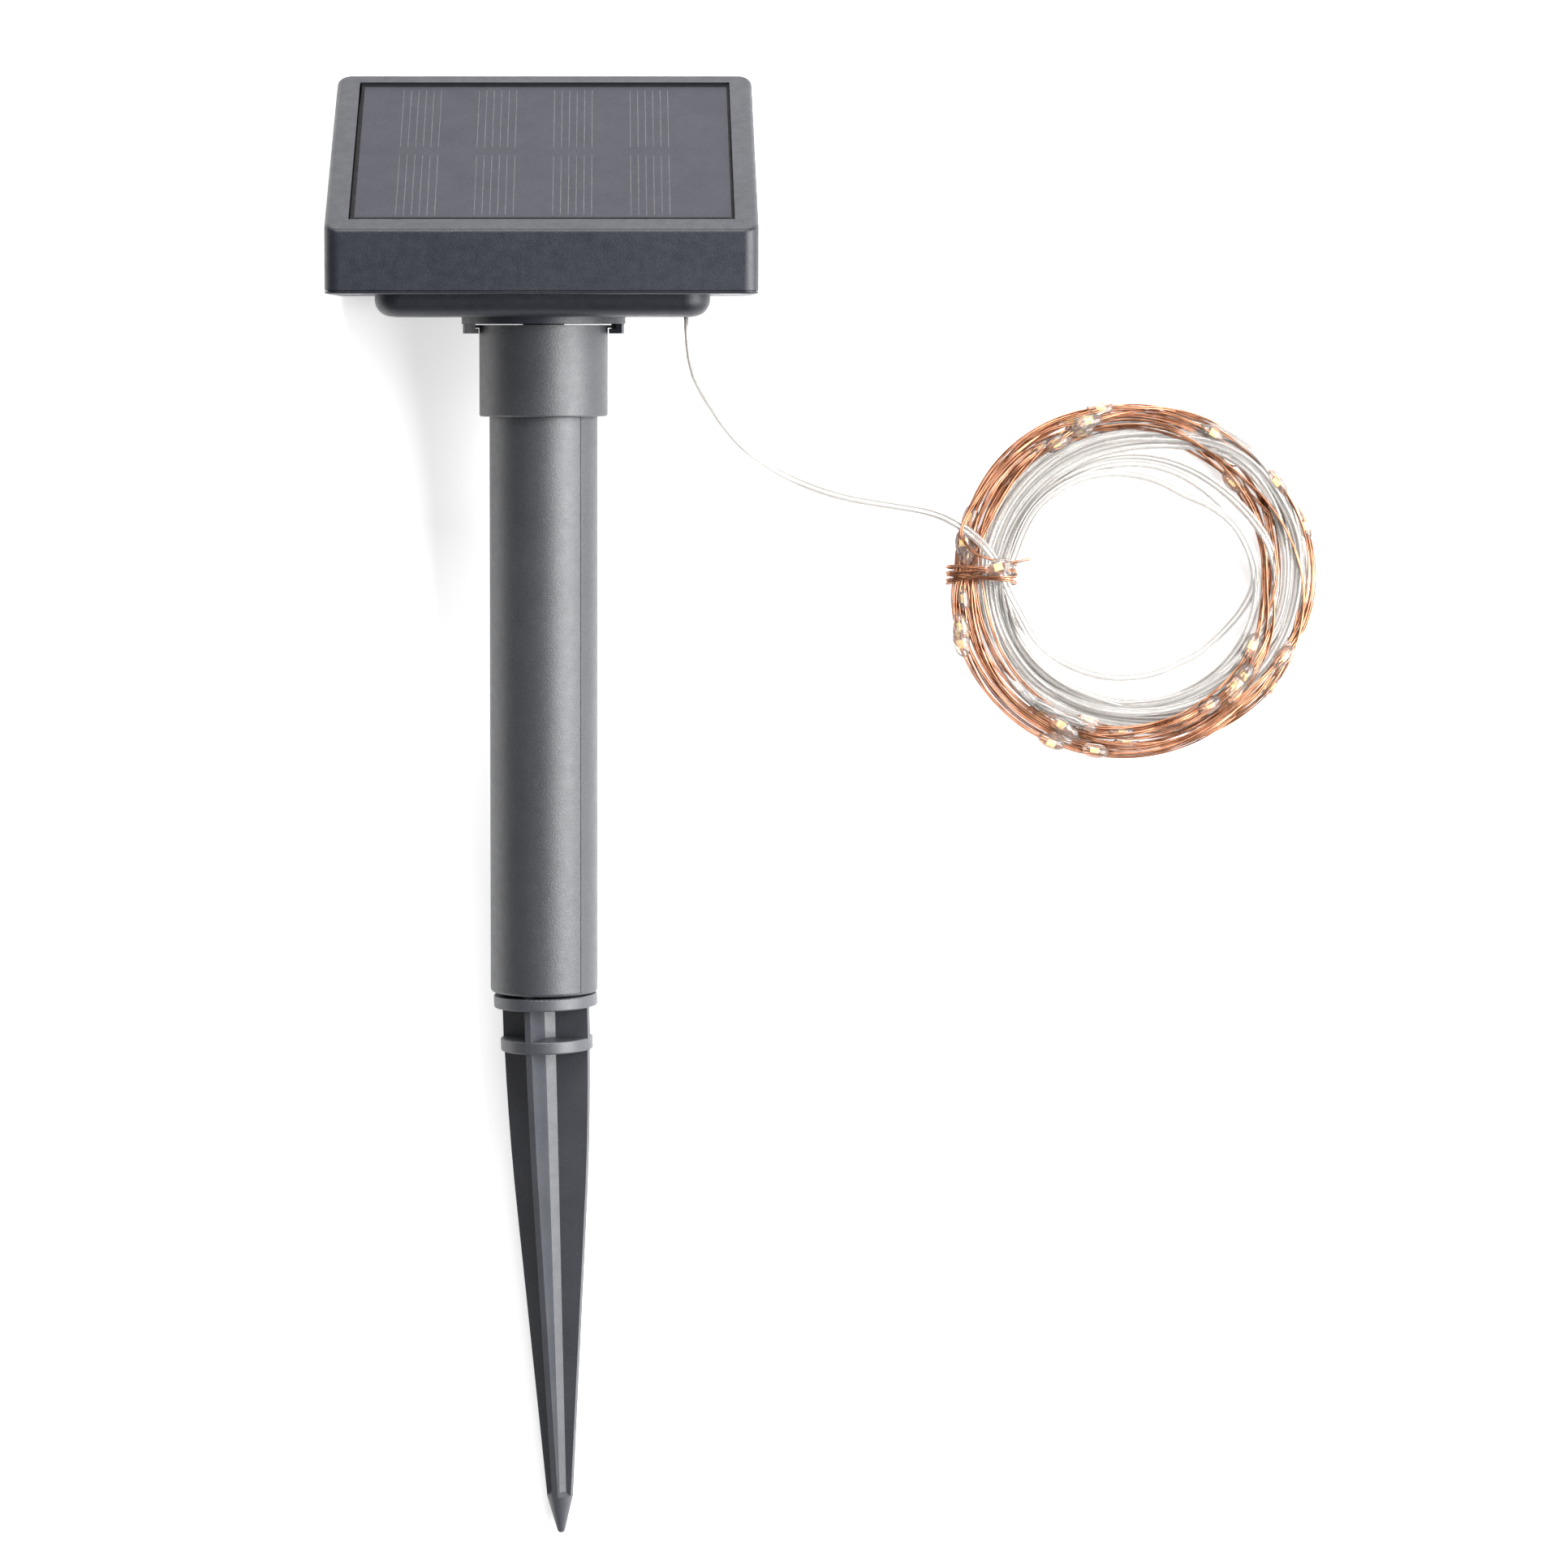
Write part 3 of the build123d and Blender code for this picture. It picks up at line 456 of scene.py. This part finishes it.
def settled():
    """(lead, string): the (angle, radius, height) of each station, in degrees and mm.

    The stations are pushed apart at each angle, over a fixed number of sweeps, so that they overlap
    less.
    """
    rng = np.random.default_rng(7)
    rows = []
    for turn in range(1, LEAD_TURNS + 1):
        table, jitter = LEAD_LANES[turn - 1], rng.uniform(-0.06, 0.06, 8)
        tall = rng.uniform(-0.22, 0.22, 8)
        for degrees in range(TURN_FROM, LEAD_TO if turn == LEAD_TURNS else TURN_TO, STEP):
            rows.append((360 * turn + degrees, lane(table + jitter, degrees),
                         lane(np.add(LEAD_HEIGHTS, tall), degrees), LEAD_SIZE))
    start = len(rows)
    length, stride = 0.0, MEAN_RADIUS * math.radians(STEP)
    for turn, kind in enumerate(STRING_ORDER):
        table = STRING_LANES[kind]
        jitter = rng.uniform(-0.16, 0.16) + rng.uniform(-0.2, 0.2, 8)
        tall = rng.uniform(-0.28, 0.28, 8)
        first = STRING_FROM if turn == 0 else TURN_FROM
        for degrees in range(first, STRING_TO if turn == STRING_TURNS - 1 else TURN_TO, STEP):
            high = lane(np.add(STRING_HEIGHTS, tall), degrees)
            size = STRING_SIZE
            length += stride
            if length % BEAD_PITCH < stride and degrees > BEADS_PAST:
                size, high = BEAD_SIZE, high + BEAD_LIFT
            rows.append((360 * turn + degrees, lane(table + jitter, degrees), high, size))
    degrees, across, high, size = (np.array(c, float) for c in zip(*rows))
    angle = np.radians(degrees)
    inner = ellipse(INNER, angle)
    outer = ellipse(OUTER, angle) + np.array([lane(SWELL, d) for d in degrees])
    top = np.array([ceiling(d) for d in degrees])
    middle, half = (inner + outer) / 2, (outer - inner) / 2 - OVER_EDGE
    target = np.stack([middle + across * half, EDGE + np.clip(high, 0, 1) * (top - 2 * EDGE)], axis=1)
    place = target.copy()
    station = degrees.astype(int) % 360 // STEP
    groups = [np.flatnonzero(station == s) for s in range(360 // STEP)]
    chains = [np.arange(start), np.arange(start, len(rows))]
    pinned = [start - 1, start]
    place[pinned] = (LEAD_END, STRING_START)
    sleeve = {turn // STEP: spot for turn, spot in SLEEVE_PLACES.items()}
    for _ in range(SWEEPS):
        for chain in chains:
            inside = place[chain]
            smooth = inside.copy()
            smooth[1:-1] = 0.25 * inside[:-2] + 0.5 * inside[1:-1] + 0.25 * inside[2:]
            place[chain] = inside + SMOOTHING * (smooth - inside)
        place += PULL * (target - place)
        for s, group in enumerate(groups):
            near, wide = place[group], size[group]
            if s in sleeve:
                near = np.concatenate([near, [sleeve[s]]])
                wide = np.append(wide, SLEEVE_SIZE)
            gap = near[:, None] - near[None]
            far = np.linalg.norm(gap, axis=2) + 1e-6
            touch = (wide[:, None] + wide[None]) / 2
            push = np.where(far < touch, (touch - far) / far, 0.0)
            np.fill_diagonal(push, 0.0)
            moved = (gap * push[..., None]).sum(axis=1) * PUSH
            place[group] += moved[: len(group)]
        place[:, 0] = np.minimum(place[:, 0], outer - size / 2 + OVER_EDGE)
        place[:, 1] = np.clip(place[:, 1], CLEAR_OF_FLOOR + size / 2, top)
        place[pinned] = (LEAD_END, STRING_START)
    return [[(degrees[i], *place[i]) for i in chain] for chain in chains]


def round_coil(degrees, radius, height):
    """The place of a station, in mm."""
    a = math.radians(degrees)
    return (COIL[0] + radius * math.cos(a), COIL[1] + radius * math.sin(a), height)


def in_metres(points):
    """Points in mm turned into metres."""
    return [tuple(MM * c for c in point) for point in points]


lead_stations, string_stations = settled()

# The clear lead leaves the housing, drops to the floor, crosses the bundle and starts as a loose loop.
route = [(34.2, 117.45, 24.38), (34.2, 106.5, 23.38), (39.0, 98.4, 13.5), (47.0, 88.4, 5.0),
         (58.0, 80.9, 1.2), (71.0, 75.8, 1.2), (84.0, 73.6, 1.2), (95.0, 71.8, 3.0),
         (102.2, 67.8, 7.4), (107.6, 63.0, 8.4), (111.2, 57.4, 8.0), (113.4, 51.6, 7.2)]
for i in range(1, 23):
    radius = np.interp(i / 2, range(len(LOOSE_LOOP)), LOOSE_LOOP)
    off_floor = LOOP_RISE * min(1, max(3 - i, i - 10, 0) / 3)
    route.append(round_coil(180 + i * STEP, radius, LOOP_LOW + off_floor if i > 1 else LOOP_START))
route += [*[round_coil(*s) for s in lead_stations], round_coil(SLEEVE_START + 3, 38.7, 7.98)]
lead_route = in_metres(route)
sleeve_route = in_metres([round_coil(SLEEVE_START - 3, *LEAD_END), round_coil(240, 38.3, 8.1),
                          round_coil(SLEEVE_END + 3, *STRING_START)])

# The string carries on from the splice and its end is wound, a little unevenly, round the bundle as
# the tie: an oval that bulges at its upper right corner and stays off the floor.
TIE_X, TIE_Z, TIE_WIDE, TIE_HIGH = 106.8, 4.35, 8.9, 3.95
TIE_TOP_Y, TIE_PITCH, TIE_TURNS, TIE_STEPS = 58.8, 0.98, 5, 12
TIE_START, TIE_BULGE, TIE_LOW = 75, 3.0, 0.42
wrap = [(100.6, 67.5, 7.6), (102.6, 63.6, 8.2), (105.0, 60.8, 8.7)]
for i in range(1, TIE_TURNS * TIE_STEPS - 2):
    a = math.radians(TIE_START - 360 // TIE_STEPS * i)
    lift = max(0.0, math.cos(a)) * max(0.0, math.sin(a))
    wrap.append((TIE_X + (TIE_WIDE + 0.25 * math.sin(2.1 * i)) * math.cos(a),
                 TIE_TOP_Y - TIE_PITCH * i / TIE_STEPS + 0.4 * math.sin(0.83 * i),
                 max(TIE_LOW, TIE_Z + TIE_BULGE * lift + TIE_HIGH * math.sin(a))))
wrap += [(102.8, 55.4, 8.8), (107.4, 57.0, 9.9), (112.4, 58.7, 10.7), (116.4, 59.6, 10.4),
         (118.6, 60.1, 10.2)]
string_route = in_metres([round_coil(SLEEVE_END - 3, 37.6, 7.95),
                          *[round_coil(*s) for s in string_stations], *wrap])

lead_path = spline_points(lead_route, 6)
string_path = spline_points(string_route, 5)
sleeve_path = spline_points(sleeve_route, 12)


# ---- the clear twin lead -------------------------------------------------------------------------

LOBE_R, LOBE_OUT, CORE_R, CORE_INSET = 0.57 * MM, 0.53 * MM, 0.22 * MM, 0.3 * MM


def twin_outline():
    """The outline of the flat twin lead: two round lobes with a web between them."""
    turn = np.radians(np.arange(-140, 141, 35))
    right = np.stack([LOBE_OUT + LOBE_R * np.cos(turn), LOBE_R * np.sin(turn)], axis=1)
    return np.concatenate([right, -right])


def turned(side, up, angle):
    """The frame turned about the path by an angle at each point."""
    c, s = np.cos(angle)[:, None], np.sin(angle)[:, None]
    return c * side + s * up, c * up - s * side


# It leaves the grommet edge on, turns flat between 12 and 57 mm and sways in full from 200 mm on.
EDGE_ON_FOR, TURNING_FOR, SWAY_FROM, SWAY = 0.012, 0.045, 0.1, 0.55
lead_along = along(lead_path)
side, up = level_frame(lead_path)
edge_on = math.pi / 2 * (1 - np.clip((lead_along - EDGE_ON_FOR) / TURNING_FOR, 0, 1))
sway = SWAY * np.sin(lead_along * 41 + 1.0) * np.clip((lead_along - SWAY_FROM) / SWAY_FROM, 0, 1)
side, up = turned(side, up, edge_on + sway)
lead = mesh_piece("clear_lead", *swept(lead_path, side, up, twin_outline()), lead_mat)
core_path = lead_path.copy()
core_path[0] += CORE_INSET * unit(lead_path[1] - lead_path[0])
core_path[-1] += CORE_INSET * unit(lead_path[-2] - lead_path[-1])
cores = [swept(core_path, side, up, circle(CORE_R, 8, (x, 0.0))) for x in (-LOBE_OUT, LOBE_OUT)]
lead_cores = mesh_piece("lead_cores", *joined(cores), solder_mat)

# ---- the splice: a clear sleeve over the joint, with the tinned ends inside ------------------------

SLEEVE_R, SHRINK, SHRINK_SPAN = 1.25 * MM, 0.22, 0.1
END_R, END_OUT, END_TWIST = 0.24 * MM, 0.33 * MM, 9
side, up = level_frame(sleeve_path)
sleeve_along = along(sleeve_path) / along(sleeve_path)[-1]
shrunk = 1 - SHRINK * (np.exp(-(sleeve_along / SHRINK_SPAN) ** 2)
                       + np.exp(-((1 - sleeve_along) / SHRINK_SPAN) ** 2))
outlines = circle(SLEEVE_R, 16)[None] * shrunk[:, None, None]
sleeve = mesh_piece("splice_tube", *swept(sleeve_path, side, up, outlines), sleeve_mat)
within = slice(3, -3)
twist = (sleeve_along * END_TWIST)[within, None]
around = np.cos(twist) * side[within] + np.sin(twist) * up[within]
ends = [swept(sleeve_path[within] + END_OUT * f * around, side[within], up[within], circle(END_R, 8))
        for f in (-1, 1)]
splice_ends = mesh_piece("splice_ends", *joined(ends), solder_mat)

# ---- the copper string: two enamelled strands and a resin drop every 100 mm ------------------------

STRAND_R, STRAND_OUT, STRAND_LOW = 0.2 * MM, 0.23, 0.22 * MM
OPENED, OPENED_SPAN = 0.2, 0.004                    # the strands part to hold each chip
TIE_LONG, LAST_DROP = 0.26, 0.0085                  # no drops on the tie, but one near its end
string_along = along(string_path)
bead_at = np.arange(BEAD_PITCH * MM * 0.5, string_along[-1] - TIE_LONG, BEAD_PITCH * MM)
bead_at = np.append(bead_at, string_along[-1] - LAST_DROP)
side, up = rolled_frame(string_path)
from_bead = np.abs(string_along[:, None] - bead_at[None]).min(axis=1)
half_gap = MM * (STRAND_OUT + OPENED * np.exp(-(from_bead / OPENED_SPAN) ** 2))
side, up = turned(side, up, 2.6 * np.sin(string_along * 23) + string_along * 9)
strands = []
for f in (-1, 1):
    strand = string_path + f * half_gap[:, None] * side
    strand[:, 2] = np.maximum(strand[:, 2], STRAND_LOW)
    strands.append(swept(strand, side, up, circle(STRAND_R, 6)))
string = mesh_piece("copper_string", *joined(strands), copper_mat)

# Half sizes of a resin drop, of its chip and of the pads at both ends of the chip.
DROP_LONG, DROP_WIDE, DROP_NECK, DROP_FLAT, DROP_LOW = 3.5 * MM, 1.85 * MM, 0.16 * MM, 0.84, 2.05 * MM
DROP_RINGS, DROP_SIDES, DROP_ROLL = 15, 14, 0.9
CHIP_HALF, CHIP_UP = (1.0, 0.72, 0.4), 0.2
PAD_HALF, PAD_OUT, PAD_DOWN = (0.5, 0.55, 0.14), 1.25, 0.1


def on_string(distance):
    """The place on the string's path at a distance from its start."""
    return np.array([np.interp(distance, string_along, string_path[:, k]) for k in range(3)])


def bead(distance, number):
    """(drop, chip, pads) of one LED as (corners, faces)."""
    place = on_string(distance)
    ahead = unit(on_string(distance + 2 * MM) - on_string(distance - 2 * MM))
    place[2] = max(place[2], DROP_LOW)
    side = unit(np.cross(ahead, (0.0, 0.0, 1.0)))
    up = np.cross(side, ahead)
    c, s = math.cos(DROP_ROLL * number), math.sin(DROP_ROLL * number)
    side, up = c * side + s * up, c * up - s * side
    t = np.sin(np.linspace(-math.pi / 2, math.pi / 2, DROP_RINGS))
    bulge = DROP_WIDE * (1 - np.abs(t) ** 2.4) ** 0.62 + DROP_NECK
    centres = place + ahead * (DROP_LONG * t)[:, None]
    oval = circle(1.0, DROP_SIDES) * (1.0, DROP_FLAT)
    drop = swept(centres, np.tile(side, (DROP_RINGS, 1)), np.tile(up, (DROP_RINGS, 1)),
                 oval[None] * bulge[:, None, None])
    chip = block(place + up * CHIP_UP * MM, ahead, side, up, CHIP_HALF)
    pads = joined([block(place + ahead * f * PAD_OUT * MM - up * PAD_DOWN * MM, ahead, side, up,
                         PAD_HALF) for f in (-1, 1)])
    return drop, chip, pads


def block(centre, ahead, side, up, half):
    """(corners, faces) of a chamfered block with those half sizes in mm."""
    a, b, h = (MM * x for x in half)
    k = 0.25 * h
    rings = []
    for level, inset in ((-h, k), (-h + k, 0), (h - k, 0), (h, k)):
        rings += [centre + ahead * x * (a - inset) + side * y * (b - inset) + up * level
                  for x, y in ((-1, -1), (1, -1), (1, 1), (-1, 1))]
    faces = [[3, 2, 1, 0], [12, 13, 14, 15]]
    for r in range(3):
        faces += [[4 * r + i, 4 * r + (i + 1) % 4, 4 * r + 4 + (i + 1) % 4, 4 * r + 4 + i]
                  for i in range(4)]
    return np.array(rings), faces


beads = [bead(distance, i) for i, distance in enumerate(bead_at)]
drops = mesh_piece("led_drops", *joined([b[0] for b in beads]), resin_mat)
chips = mesh_piece("led_chips", *joined([b[1] for b in beads]), chip_mat, smooth=False)
pads = mesh_piece("led_pads", *joined([b[2] for b in beads]), copper_mat, smooth=False)

for piece, slot in ((lead, "clear_cord"), (lead_cores, "copper"), (sleeve, "clear_cord"),
                    (splice_ends, "copper"), (string, "copper"), (drops, "led_resin"),
                    (chips, "led_resin"), (pads, "copper")):
    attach(piece, "head")
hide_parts("lead_wire")
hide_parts("light_coil", "coil_tie")
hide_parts("splice_sleeve")
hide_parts("led_beads")

# ---- the CAD nodes' materials ----------------------------------------------------------------------

for name, mat in {
    "top_frame": housing_mat, "base_cover": housing_mat, "collar": pole_mat, "pole_tube": pole_mat,
    "ground_spike": spike_mat, "power_button": button_mat, "mode_button": button_mat,
    "housing_seal": seal_mat, "panel_gasket": seal_mat, "button_seals": seal_mat,
    "cable_grommet": seal_mat, "housing_screws": steel_mat, "board_screws": steel_mat,
    "battery_spring": steel_mat, "battery_contact": steel_mat, "panel_cover": laminate_mat,
    "solar_cells": silicon_mat, "panel_board": black_board_mat, "controller_board": green_board_mat,
    "board_components": component_mat, "tact_switches": component_mat,
    "battery_holder": holder_mat, "battery_cell": wrap_mat, "panel_leads": jacket_mat,
    "battery_leads": jacket_mat,
}.items():
    for place in NODES[name].material_slots:
        place.material = mat

rounding = NODES["ground_spike"].modifiers.new("moulded_edges", "BEVEL")
rounding.width = 0.0003
rounding.segments = 2
rounding.limit_method = "ANGLE"
rounding.angle_limit = math.radians(50)

# ---- the cells' contact fingers, seen faintly through the laminate ---------------------------------

FINGER_PITCH, FINGERS, FINGER_WIDE, FINGER_LONG = 1.82, 6, 0.21, 28.6
CELL_PITCH, CELL_COLS, ROW_AT, FINGER_SHIFT = 18.3, 4, 16.3, -2.3
FINGER_LIFT, FINGER_THICK, FINGER_RINGS = 0.004, 0.012, 21
cover = NODES["panel_cover"].data
face = max(cover.polygons, key=lambda f: f.area if f.normal.z > 0 and abs(f.normal.x) < 0.01 else 0)
level = Vector(face.normal)
centre = sum((Vector(cover.vertices[i].co) for i in face.vertices), Vector()) / len(face.vertices)
corners = [Vector(v.co) for v in cover.vertices if abs((Vector(v.co) - centre).dot(level)) < 1e-5]
sideways = Vector((1, 0, 0))
uphill = level.cross(sideways).normalized()
low = [min(c.dot(way) for c in corners) for way in (sideways, uphill)]
high = [max(c.dot(way) for c in corners) for way in (sideways, uphill)]
middle = (sideways * (low[0] + high[0]) / 2 + uphill * (low[1] + high[1]) / 2
          + level * centre.dot(level))
rng = np.random.default_rng(3)
fingers = []


def finger(x, y):
    """A thin printed line at that place on the laminate, in mm, a little uneven along its length."""
    path = np.array([middle + (sideways * x + uphill * (y + t * FINGER_LONG / 2)) * MM
                     + level * FINGER_LIFT * MM for t in np.linspace(-1, 1, FINGER_RINGS)])
    thin = FINGER_WIDE / 2 * MM * rng.uniform(0.6, 1.15, FINGER_RINGS)
    outline = np.stack([np.stack([thin * a, np.full(FINGER_RINGS, b * FINGER_THICK * MM)], axis=1)
                        for a, b in ((-1, 0), (1, 0), (0.8, 1), (-0.8, 1))], axis=1)
    across = unit(np.cross(unit(path[-1] - path[0]), np.array(level)))
    return swept(path, np.tile(across, (FINGER_RINGS, 1)), np.tile(np.array(level), (FINGER_RINGS, 1)),
                 outline)


for row in (-1, 1):
    for col in range(CELL_COLS):
        for i in range(FINGERS):
            x = (FINGER_SHIFT + (col - (CELL_COLS - 1) / 2) * CELL_PITCH
                 + (i - (FINGERS - 1) / 2) * FINGER_PITCH)
            fingers.append(finger(x, row * ROW_AT))


# Painted shade: a flat black ring in the seal rubber lies over the laminate's edges, where the gap
# between laminate and frame is in shadow.
OUTSIDE = -0.35
GAP_SHADE_SECTION = ((OUTSIDE, -0.3), (OUTSIDE, 0.2), (0.75, 0.2), (1.0, -0.02))  # (share inwards, lift)


def gap_shade_ring(left, right, bottom, top):
    """(corners, faces) of a flat black ring over the laminate's edge, as wide as each gap, in mm:
    painted shade for the shadowed gap round the laminate.
    """
    half = [(high[k] - low[k]) / 2 / MM for k in (0, 1)]
    rings = []
    for inset, lift in GAP_SHADE_SECTION:
        x0, x1 = -half[0] + max(inset * left, OUTSIDE), half[0] - max(inset * right, OUTSIDE)
        y0, y1 = -half[1] + max(inset * bottom, OUTSIDE), half[1] - max(inset * top, OUTSIDE)
        rings += [middle + (sideways * x + uphill * y + level * lift) * MM
                  for x, y in ((x0, y0), (x1, y0), (x1, y1), (x0, y1))]
    faces = [[4 * r + i, 4 * r + (i + 1) % 4, (4 * r + 4) % 16 + (i + 1) % 4, (4 * r + 4) % 16 + i]
             for r in range(4) for i in range(4)]
    return np.array([tuple(v) for v in rings]), faces


# Painted shade: this black ring stands in for the shadow in the gap round the laminate.
painted_gap_shade = mesh_piece("laminate_gap_shade", *gap_shade_ring(0.55, 0.4, 1.5, 0.7), seal_mat, smooth=False)
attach(painted_gap_shade, "head")
finger_lines = mesh_piece("cell_finger_lines", *joined(fingers), finger_mat, smooth=False)
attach(finger_lines, "head")

# ---- floor and light -------------------------------------------------------------------------------

FLOOR_HALF, FLOOR_Z = 3, -0.0002
floor_mat, _, paper = new_material("floor_paper")
floor = mesh_piece("floor", [(x * FLOOR_HALF, y * FLOOR_HALF, FLOOR_Z)
                             for x, y in ((-1, -1), (1, -1), (1, 1), (-1, 1))],
                   [[0, 1, 2, 3]], floor_mat, smooth=False)
paper.inputs["Base Color"].default_value = (0.8, 0.8, 0.8, 1)
paper.inputs["Roughness"].default_value = 0.9
paper.inputs["Specular IOR Level"].default_value = 0.0
paper.inputs["Emission Color"].default_value = (1, 1, 1, 1)
paper.inputs["Emission Strength"].default_value = 0.54

world = bpy.data.worlds.new("studio")
world.use_nodes = True
sky = world.node_tree.nodes["Background"]
sky.inputs["Color"].default_value = (1, 1, 1, 1)
sky.inputs["Strength"].default_value = 0.29
bpy.context.scene.world = world


def softbox(name, place, size, watts, aim=(0.0, 0.0, 0.02)):
    """A square soft light that faces a point."""
    data = bpy.data.lights.new(name, "AREA")
    data.energy = watts
    data.size = size
    lamp = bpy.data.objects.new(name, data)
    lamp.location = place
    lamp.rotation_euler = (Vector(aim) - Vector(place)).to_track_quat("-Z", "Y").to_euler()
    bpy.context.scene.collection.objects.link(lamp)


softbox("key", (0.95, 0.1, 0.8), size=1.15, watts=56)
softbox("back", (0.0, 1.1, 0.8), size=0.7, watts=18)
